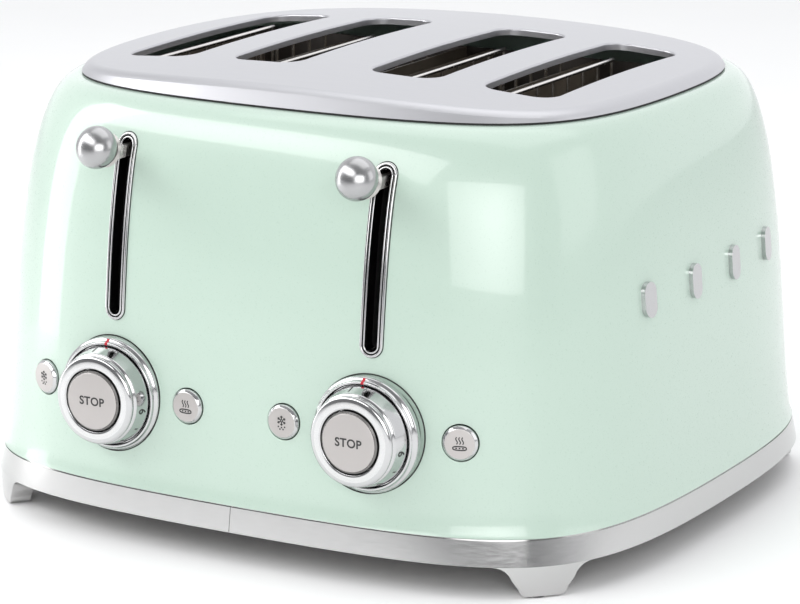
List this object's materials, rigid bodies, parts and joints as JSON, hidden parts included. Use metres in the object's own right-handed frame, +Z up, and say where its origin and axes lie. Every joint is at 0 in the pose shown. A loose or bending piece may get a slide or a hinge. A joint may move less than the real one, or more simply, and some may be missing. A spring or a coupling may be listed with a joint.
{
  "type": "pop up toaster",
  "caption": "Pop up toaster with long bread slots in a domed steel top, a rounded enamel casing on a footed metal band, ball levers, push-to-stop dials and pull-out crumb trays.",
  "frame": {"origin": "on the surface it stands on, at the middle of the bounding box, under the middle of the bread slots", "axes": "+X along the control face to the user's right, +Z up, -Y towards the user"},
  "size_m": [0.3432, 0.33, 0.2128],
  "materials": {
    "mint_paint": "glossy enamel, pale mint green",
    "satin_steel": "satin stainless steel",
    "polished_trim": "polished chrome",
    "band_metal": "polished die-cast band",
    "black_rubber": "matt black rubber",
    "button_metal": "satin metallised button",
    "pressed_steel": "plain pressed steel",
    "mechanism_steel": "zinc plated steel",
    "guide_wire": "bright plated wire",
    "mica": "mica sheet",
    "heating_ribbon": "dull nickel chrome ribbon",
    "circuit_board": "green circuit board laminate",
    "magnet": "laminated iron core and copper coil",
    "spring_steel": "spring steel"
  },
  "bodies": {
    "chassis": {"outer_shell": "mint_paint", "top_seal": "black_rubber", "top_panel": "satin_steel", "base_band": "band_metal", "base_pan": "pressed_steel", "foot_pads": "black_rubber", "base_screws": "mechanism_steel", "cord_gland": "black_rubber", "side_studs": "polished_trim", "front_bulkhead": "pressed_steel", "rear_bulkhead": "pressed_steel", "lever_slot_bezel_left": "polished_trim", "dial_bezel_left": "polished_trim", "control_board_left": "circuit_board", "guide_rod_left": "mechanism_steel", "lift_spring_left": "spring_steel", "electromagnet_left": "magnet", "heater_card_inner_left": "mica", "heater_card_middle_left": "mica", "heater_card_outer_left": "mica", "lever_slot_bezel_right": "polished_trim", "dial_bezel_right": "polished_trim", "control_board_right": "circuit_board", "guide_rod_right": "mechanism_steel", "lift_spring_right": "spring_steel", "electromagnet_right": "magnet", "heater_card_inner_right": "mica", "heater_card_middle_right": "mica", "heater_card_outer_right": "mica", "heater_windings": "heating_ribbon"},
    "lever_left": {"lever_arm_left": "mechanism_steel", "lever_ball_left": "polished_trim", "carriage_left": "mechanism_steel", "bread_rack_outer_left": "mechanism_steel", "bread_rack_inner_left": "mechanism_steel"},
    "dial_left": {"dial_knob_left": "polished_trim", "dial_shaft_left": "mechanism_steel"},
    "stop_left": {"stop_button_left": "button_metal"},
    "defrost_left": {"defrost_button_left": "button_metal"},
    "reheat_left": {"reheat_button_left": "button_metal"},
    "tray_left": {"crumb_tray_left": "satin_steel"},
    "lever_right": {"lever_arm_right": "mechanism_steel", "lever_ball_right": "polished_trim", "carriage_right": "mechanism_steel", "bread_rack_outer_right": "mechanism_steel", "bread_rack_inner_right": "mechanism_steel"},
    "dial_right": {"dial_knob_right": "polished_trim", "dial_shaft_right": "mechanism_steel"},
    "stop_right": {"stop_button_right": "button_metal"},
    "defrost_right": {"defrost_button_right": "button_metal"},
    "reheat_right": {"reheat_button_right": "button_metal"},
    "tray_right": {"crumb_tray_right": "satin_steel"},
    "guide_outer_left_left": {"bread_guide_outer_left_left": "guide_wire"},
    "guide_outer_left_right": {"bread_guide_outer_left_right": "guide_wire"},
    "guide_inner_left_left": {"bread_guide_inner_left_left": "guide_wire"},
    "guide_inner_left_right": {"bread_guide_inner_left_right": "guide_wire"},
    "guide_inner_right_left": {"bread_guide_inner_right_left": "guide_wire"},
    "guide_inner_right_right": {"bread_guide_inner_right_right": "guide_wire"},
    "guide_outer_right_left": {"bread_guide_outer_right_left": "guide_wire"},
    "guide_outer_right_right": {"bread_guide_outer_right_right": "guide_wire"}
  },
  "joints": [
    {"name": "lever_left_slide", "type": "slide", "parent": "chassis", "child": "lever_left", "axis": [0, 0, 1], "range_m": [-0.07, 0], "stiffness_N_per_m": 60, "springref_m": 0.1, "deforming": ["lift_spring_left"]},
    {"name": "dial_left_turn", "type": "hinge", "parent": "chassis", "child": "dial_left", "pos_m": [-0.067, -0.155, 0.0679], "axis": [0, 1, 0], "range_deg": [0, 240]},
    {"name": "stop_left_press", "type": "slide", "parent": "chassis", "child": "stop_left", "axis": [0, 1, 0], "range_m": [0, 0.002], "stiffness_N_per_m": 400, "springref_m": -0.002},
    {"name": "defrost_left_press", "type": "slide", "parent": "chassis", "child": "defrost_left", "axis": [0.3014, 0.9535, 0], "range_m": [0, 0.0015], "stiffness_N_per_m": 400, "springref_m": -0.002},
    {"name": "reheat_left_press", "type": "slide", "parent": "chassis", "child": "reheat_left", "axis": [0.0192, 0.9998, 0], "range_m": [0, 0.0015], "stiffness_N_per_m": 400, "springref_m": -0.002},
    {"name": "tray_left_slide", "type": "slide", "parent": "chassis", "child": "tray_left", "axis": [0, 1, 0], "range_m": [0, 0.2]},
    {"name": "lever_right_slide", "type": "slide", "parent": "chassis", "child": "lever_right", "axis": [0, 0, 1], "range_m": [-0.07, 0], "stiffness_N_per_m": 60, "springref_m": 0.1, "deforming": ["lift_spring_right"]},
    {"name": "dial_right_turn", "type": "hinge", "parent": "chassis", "child": "dial_right", "pos_m": [0.067, -0.155, 0.0679], "axis": [0, 1, 0], "range_deg": [0, 240]},
    {"name": "stop_right_press", "type": "slide", "parent": "chassis", "child": "stop_right", "axis": [0, 1, 0], "range_m": [0, 0.002], "stiffness_N_per_m": 400, "springref_m": -0.002},
    {"name": "defrost_right_press", "type": "slide", "parent": "chassis", "child": "defrost_right", "axis": [-0.0192, 0.9998, 0], "range_m": [0, 0.0015], "stiffness_N_per_m": 400, "springref_m": -0.002},
    {"name": "reheat_right_press", "type": "slide", "parent": "chassis", "child": "reheat_right", "axis": [-0.3014, 0.9535, 0], "range_m": [0, 0.0015], "stiffness_N_per_m": 400, "springref_m": -0.002},
    {"name": "tray_right_slide", "type": "slide", "parent": "chassis", "child": "tray_right", "axis": [0, 1, 0], "range_m": [0, 0.2]},
    {"name": "guide_outer_left_left_tilt", "type": "hinge", "parent": "chassis", "child": "guide_outer_left_left", "pos_m": [-0.11035, 0, 0.046], "axis": [0, 1, 0], "range_deg": [0, 5.05]},
    {"name": "guide_outer_left_right_tilt", "type": "hinge", "parent": "chassis", "child": "guide_outer_left_right", "pos_m": [-0.07935, 0, 0.046], "axis": [0, -1, 0], "range_deg": [0, 5.05]},
    {"name": "guide_inner_left_left_tilt", "type": "hinge", "parent": "chassis", "child": "guide_inner_left_left", "pos_m": [-0.05205, 0, 0.046], "axis": [0, 1, 0], "range_deg": [0, 5.05]},
    {"name": "guide_inner_left_right_tilt", "type": "hinge", "parent": "chassis", "child": "guide_inner_left_right", "pos_m": [-0.02105, 0, 0.046], "axis": [0, -1, 0], "range_deg": [0, 5.05]},
    {"name": "guide_inner_right_left_tilt", "type": "hinge", "parent": "chassis", "child": "guide_inner_right_left", "pos_m": [0.02105, 0, 0.046], "axis": [0, 1, 0], "range_deg": [0, 5.05]},
    {"name": "guide_inner_right_right_tilt", "type": "hinge", "parent": "chassis", "child": "guide_inner_right_right", "pos_m": [0.05205, 0, 0.046], "axis": [0, -1, 0], "range_deg": [0, 5.05]},
    {"name": "guide_outer_right_left_tilt", "type": "hinge", "parent": "chassis", "child": "guide_outer_right_left", "pos_m": [0.07935, 0, 0.046], "axis": [0, 1, 0], "range_deg": [0, 5.05]},
    {"name": "guide_outer_right_right_tilt", "type": "hinge", "parent": "chassis", "child": "guide_outer_right_right", "pos_m": [0.11035, 0, 0.046], "axis": [0, -1, 0], "range_deg": [0, 5.05]}
  ],
  "couplings": [
    {"joint": "guide_outer_left_left_tilt", "follows": "lever_left_slide", "rad_per_m": -1.246},
    {"joint": "guide_outer_left_right_tilt", "follows": "lever_left_slide", "rad_per_m": -1.246},
    {"joint": "guide_inner_left_left_tilt", "follows": "lever_left_slide", "rad_per_m": -1.246},
    {"joint": "guide_inner_left_right_tilt", "follows": "lever_left_slide", "rad_per_m": -1.246},
    {"joint": "guide_inner_right_left_tilt", "follows": "lever_right_slide", "rad_per_m": -1.246},
    {"joint": "guide_inner_right_right_tilt", "follows": "lever_right_slide", "rad_per_m": -1.246},
    {"joint": "guide_outer_right_left_tilt", "follows": "lever_right_slide", "rad_per_m": -1.246},
    {"joint": "guide_outer_right_right_tilt", "follows": "lever_right_slide", "rad_per_m": -1.246}
  ]
}
